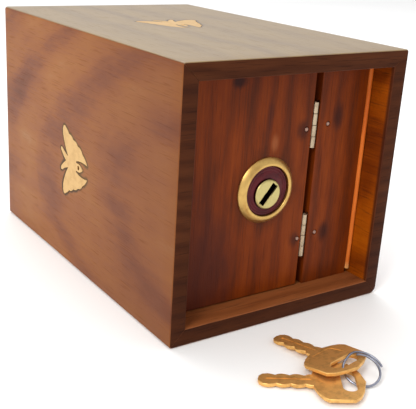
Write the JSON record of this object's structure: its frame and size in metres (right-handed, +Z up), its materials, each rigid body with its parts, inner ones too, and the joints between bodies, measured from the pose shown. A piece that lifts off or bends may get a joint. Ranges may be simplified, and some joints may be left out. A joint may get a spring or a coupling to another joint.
{
  "type": "wooden money box",
  "caption": "Square wooden savings box with a recessed hinged end door, a cam lock, brass inlays, a coin slot in the far end and keys on a ring.",
  "frame": {"origin": "middle of the underside of the box, which lies on its long side", "axes": "+Z up, -Y out of the door end, +X towards the hinge side of the door"},
  "size_m": [0.1, 0.2092, 0.1],
  "materials": {
    "carcass_wood": "polished orange-brown hardwood with a waving figure",
    "door_wood": "polished red-brown hardwood, grain upright",
    "bead_wood": "pale orange varnished wood",
    "inside_wood": "plain unpolished wood",
    "inlay_brass": "brushed flush brass",
    "lock_brass": "polished brass",
    "plug_brass": "satin pale brass",
    "barrel_paint": "dark maroon lacquer",
    "hinge_steel": "plain plated steel",
    "key_brass": "golden brown brass, slightly worn",
    "ring_steel": "thin bright spring wire"
  },
  "bodies": {
    "carcass": {"top_board": "carcass_wood", "left_board": "carcass_wood", "bottom_board": "carcass_wood", "right_board": "carcass_wood", "inlay_left": "inlay_brass", "inlay_top": "inlay_brass", "inlay_right": "inlay_brass", "back_panel": "carcass_wood", "fixed_strip": "door_wood", "corner_bead": "bead_wood", "keeper_batten": "inside_wood", "upper_hinge_strip_leaf": "hinge_steel", "upper_hinge_pin": "hinge_steel", "upper_strip_nail": "hinge_steel", "lower_hinge_strip_leaf": "hinge_steel", "lower_hinge_pin": "hinge_steel", "lower_strip_nail": "hinge_steel"},
    "door": {"door_panel": "door_wood", "upper_hinge_door_leaf": "hinge_steel", "upper_door_nail": "hinge_steel", "lower_hinge_door_leaf": "hinge_steel", "lower_door_nail": "hinge_steel", "lock_ring": "lock_brass", "lock_barrel": "barrel_paint", "lock_nut": "lock_brass"},
    "lock": {"lock_plug": "plug_brass", "lock_cam": "hinge_steel", "cam_screw": "hinge_steel"},
    "key_ring": {"split_ring": "ring_steel"},
    "key_a": {"key_under": "key_brass"},
    "key_b": {"key_over": "key_brass"}
  },
  "joints": [
    {"name": "door_hinge", "type": "hinge", "parent": "carcass", "child": "door", "pos_m": [0.0163, -0.0651, 0.05], "axis": [0, 0, 1], "range_deg": [0, 150]},
    {"name": "lock_turn", "type": "hinge", "parent": "door", "child": "lock", "pos_m": [-0.0046, -0.0595, 0.0479], "axis": [0, 1, 0], "range_deg": [0, 90]},
    {"name": "keys_lift", "type": "slide", "parent": "carcass", "child": "key_ring", "axis": [0, 0, 1], "range_m": [0, 0.15]},
    {"name": "key_under_swing", "type": "hinge", "parent": "key_ring", "child": "key_a", "pos_m": [-0.00919, -0.12113, 0.00187], "axis": [-0.0343, 0.024, 0.9991], "range_deg": [-12, 12]},
    {"name": "key_over_swing", "type": "hinge", "parent": "key_ring", "child": "key_b", "pos_m": [-0.00737, -0.1172, 0.00394], "axis": [-0.0209, 0.1077, 0.994], "range_deg": [-6, 12]}
  ]
}
